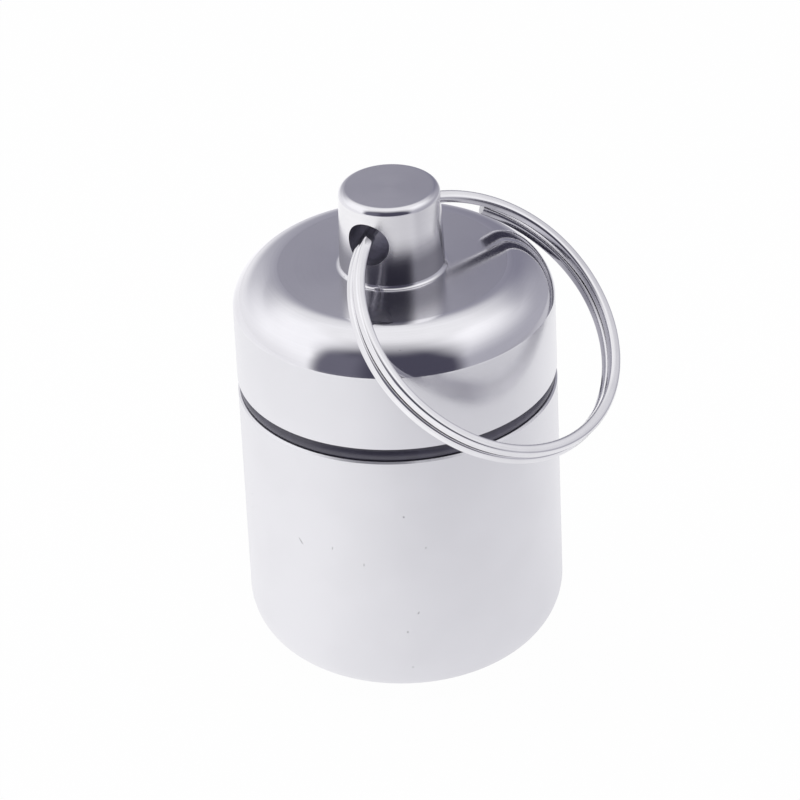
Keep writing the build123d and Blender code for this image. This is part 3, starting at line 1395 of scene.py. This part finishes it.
@dataclass
class LightTent:
    """The white dome of cloth that the capsule stands in, with its darker boards and the open front."""

    radius: float = 220.0
    eye_height: float = 32.0
    rings: int = 24
    cloth: Colour = (1.0, 0.996, 1.02)
    panels: tuple[Panel, ...] = (
        Panel("roof", 0, 200, 10, 62, 200, 6, 1, (0.89, 0.886, 0.905)),
        Panel("upper back", 165, 55, 25, 30, 62, 1, 9, (0.80, 0.796, 0.82)),
        Panel("left fall-off", -115, 60, 30, -90, 8, 1, 16, (0.84, 0.836, 0.86)),
        Panel("right board", 90, 62, 12, -90, 30, 1, 26, (0.420, 0.415, 0.470)),
        Panel("right back board", 156, 32, 18, -90, 46, 1, 13, (0.390, 0.385, 0.440)),
        Panel("back board", 175, 44, 44, 6, 40, 9, 8, (0.360, 0.355, 0.410)),
        Panel("dark back", 163, 16, 14, 4, 38, 8, 8, (0.235, 0.231, 0.290)),
        Panel("open front", -6, 49, 7, -90, 64, 1, 25, (0.068, 0.065, 0.095), 0.7),
        Panel("front strip", -40, 16, 8, -90, 42, 1, 12, (0.140, 0.136, 0.178)),
    )

    def build(self, effects: Effects) -> bpy.types.Object:
        """Makes the tent: half a sphere, seen by reflections and bounced light but not by the camera.

        Args:
            effects: The shared groups.

        Returns:
            The tent.
        """
        material, sheet = new_material("tent cloth")
        _, parts = sheet.millimetres()
        rise = sheet.math("ARCTAN2", sheet.less(parts[2], self.eye_height), sheet.reach(parts))
        rise = sheet.times(rise, 180 / np.pi)
        tone = lay(sheet, effects, self.cloth, self.panels, sheet.bearing(parts), rise)
        sheet.close(sheet.node("Emission", {"Color": tone, "Strength": 1.0}))
        angle = np.radians(np.linspace(0, 90, self.rings + 1))
        run = Run(self.radius * np.cos(angle), self.radius * np.sin(angle), angle)
        tent = piece_from("light_tent", [turned(run, 0, STUDIO_TURNS)], [material])
        tent.visible_camera = False
        return tent


@dataclass
class Floor:
    """The pale paper under the capsule, whose tone in reflections is painted light fall-off: darker to the
    right and to the front.

    Attributes:
        radius: Radius of the sheet.
        drop: How far it lies under the capsule.
        rings: Number of cells from its middle to its edge.
        colour: Colour of the paper.
        glow: How much of what is seen of it is its own tone, the rest being light and shadow that fall on it.
        near: Its tone beside the capsule.
        front: What its tone is multiplied by far to the front.
        front_azimuth: Direction of that, to the right of the front.
        front_span: The distances in that direction between which it falls off.
        parts: Parts of the sheet with painted light of their own in reflections, brighter or darker.
    """

    radius: float = 220.0
    drop: float = 0.02
    rings: int = 32
    colour: Colour = (0.94, 0.94, 0.95)
    glow: float = 0.98
    near: Colour = (0.97, 0.967, 0.985)
    front: Colour = (0.70, 0.695, 0.725)
    front_azimuth: float = 40.0
    front_span: tuple[float, float] = (10.0, 120.0)
    parts: tuple[Panel, ...] = (
        Panel("far left", -90, 60, 20, 70, 500, 30, 1, (0.88, 0.876, 0.90)),
        Panel("back", 180, 22, 12, 45, 500, 15, 1, (1.06, 1.055, 1.07)),
        Panel("right", 50, 70, 50, -50, 500, 1, 1, (0.80, 0.797, 0.825)),
        Panel("far right", 108, 55, 12, 76, 500, 20, 1, (0.56, 0.555, 0.60)),
    )

    def build(self, effects: Effects) -> bpy.types.Object:
        """Makes the sheet: a disc, white with a faint shadow to the camera and in painted light fall-off to
        the metal.

        Args:
            effects: The shared groups.

        Returns:
            The sheet.
        """
        material, sheet = new_material("pale paper")
        path = sheet.node("LightPath").outputs
        reflected = sheet.math("MAXIMUM", path["Is Glossy Ray"], path["Is Transmission Ray"])
        seen = sheet.math("MAXIMUM", path["Is Camera Ray"], reflected)
        _, places = sheet.millimetres()
        turn, reach = sheet.bearing(places), sheet.reach(places)
        # Painted light on the paper, seen only in reflections: tones that darken to the right and to the
        # front, and brighten at the back.
        tone = lay(sheet, effects, self.near, self.parts, turn, reach)
        off = sheet.math("RADIANS", sheet.less(turn, self.front_azimuth))
        ahead = sheet.times(reach, sheet.math("COSINE", off))
        far = sheet.mix(1.0, tone, (*self.front, 1.0), "MULTIPLY")
        tone = sheet.mix(sheet.span(ahead, *self.front_span), tone, far)
        tone = sheet.mix(reflected, (1.0, 1.0, 1.0, 1.0), tone)
        paper = sheet.node("BsdfDiffuse", {"Color": (*self.colour, 1.0)}).outputs[0]
        glow = sheet.node("Emission", {"Color": tone, "Strength": 1.0}).outputs[0]
        sheet.close(sheet.node("MixShader", {0: sheet.times(seen, self.glow), 1: paper, 2: glow}))
        share = np.linspace(0, 1, self.rings + 1)
        run = Run(self.radius * share, -self.drop + 0 * share, np.pi / 2 + 0 * share)
        table = piece_from("paper_sheet", [turned(run, 0, STUDIO_TURNS)], [material])
        return table


@dataclass
class Lighting:
    """The world and the lamp under the tent's roof."""

    lamp_size: float = 260.0
    lamp_place: tuple[float, float, float] = (-30.0, -20.0, 205.0)
    lamp_power: float = 0.25

    def build(self) -> None:
        """Makes the plain white world and a wide lamp that only bounced light sees."""
        world = bpy.data.worlds.new("studio")
        world.use_nodes = True
        world.node_tree.nodes.clear()
        sheet = Sheet(world.node_tree)
        sheet.close(sheet.node("Background", {"Color": (1.0, 1.0, 1.0, 1.0), "Strength": 1.0}), "OutputWorld")
        bpy.context.scene.world = world
        lamp = bpy.data.lights.new("overhead", "AREA")
        lamp.shape = "DISK"
        lamp.size = self.lamp_size * MM
        lamp.energy = self.lamp_power
        lamp_object = bpy.data.objects.new("overhead", lamp)
        lamp_object.location = Vector(self.lamp_place) * MM
        lamp_object.visible_glossy = False
        lamp_object.visible_camera = False
        bpy.context.scene.collection.objects.link(lamp_object)


@dataclass(frozen=True)
class Viewpoint:
    """The camera: how far it stands from the point it looks at, how high, and how much it is rolled.

    Attributes:
        lens: Its focal length.
        film_width: Width of its film.
        distance: How far it stands from its target.
        elevation: How high it stands over its target, as an angle.
        roll: How far it is rolled, counter-clockwise as it looks.
        target: The point it looks at.
        clip: The nearest and farthest that it sees, in metres.
    """

    lens: float = 210.62
    film_width: float = 36.0
    distance: float = 382.25
    elevation: float = 31.64
    roll: float = -2.666
    target: tuple[float, float, float] = (0.104, 0.0, 21.321)
    clip: tuple[float, float] = (0.01, 10.0)

    def build(self) -> bpy.types.Object:
        """Makes the camera and gives it to the scene.

        Returns:
            The camera.
        """
        lift, roll = np.radians(self.elevation), np.radians(self.roll)
        back = np.array([0.0, -np.cos(lift), np.sin(lift)])
        across, up = np.array([1.0, 0.0, 0.0]), np.array([0.0, np.sin(lift), np.cos(lift)])
        right = np.cos(roll) * across + np.sin(roll) * up
        upright = -np.sin(roll) * across + np.cos(roll) * up
        data = bpy.data.cameras.new("camera")
        data.sensor_fit = "HORIZONTAL"
        data.sensor_width = self.film_width
        data.lens = self.lens
        data.clip_start, data.clip_end = self.clip
        camera = bpy.data.objects.new("camera", data)
        matrix = Matrix(np.column_stack([right, upright, back]).tolist()).to_4x4()
        matrix.translation = Vector(((np.array(self.target) + self.distance * back) * MM).tolist())
        camera.matrix_world = matrix
        bpy.context.scene.collection.objects.link(camera)
        bpy.context.scene.camera = camera
        return camera


# The whole scene


def main() -> None:
    """Builds the studio and the capsule's pieces in order, and reports each."""
    logging.basicConfig(level=logging.INFO, format="%(name)s: %(message)s")
    bpy.context.scene.view_settings.view_transform = "Standard"
    effects = Effects()
    Viewpoint().build()
    LightTent().build(effects)
    Floor().build(effects)
    Lighting().build()
    cup, cap = Cup(), Cap()
    nicks = (
        Nick(-130.2, 14.55, 0.95, 0.13, -38.0),
        Nick(-90.1, 18.4, 0.30, 0.26),
        Nick(-116.8, 14.8, 0.42, 0.16, 10.0),
        Nick(-105.1, 13.7, 0.34, 0.16, 8.0),
        Nick(-82.8, 15.3, 0.20, 0.18),
        Nick(-89.3, 3.75, 0.26, 0.20),
        Nick(-86.4, 9.1, 0.40, 0.24, 25.0),
    )
    # Painted shade on the knob's lower side: a much darker colour below about 36 to 39 mm.
    painted_foot_shade: dict[str, Any] = {"foot_colour": (0.33, 0.325, 0.36), "foot": (36.1, 38.7)}
    wall = SatinMetal("satin cup wall", nicks=nicks).material(effects)
    bore = CutMetal("turned bore", (0.72, 0.717, 0.74), 0.32).material(effects)
    cup.build(wall, bore)
    finishes = {
        CapZone.SATIN: SatinMetal("satin cap wall", roughness=0.21, edges=(cap.edge, cap.rim)),
        CapZone.DOME: TurnedPolish("polished dome", roughness=0.09, anisotropy=0.6),
        CapZone.FLAT: TurnedPolish("faced flat", (0.85, 0.845, 0.87), 0.14, 0.95),
        CapZone.KNOB: TurnedPolish("turned knob", (1.0, 0.995, 1.0), 0.14, 0.95, **painted_foot_shade),
        CapZone.DRILLED: CutMetal("drilled hole", (0.62, 0.612, 0.68), 0.45, 0.008, 0.006, 2.0),
        CapZone.TOP: TurnedPolish("knob top", (0.86, 0.855, 0.88), 0.20, 0.35),
    }
    cap.build({CapZone.BORE: bore} | {zone: finish.material(effects) for zone, finish in finishes.items()})
    Seal().build(SealRubber("black rubber").material(effects))
    cut = CutMetal("cut wire end", (0.78, 0.777, 0.80), 0.34, 0.006, 0.002, 5.0).material(effects)
    SplitRing().build(WireSteel("plated wire").material(effects), cut)


if __name__ == "__main__":
    main()
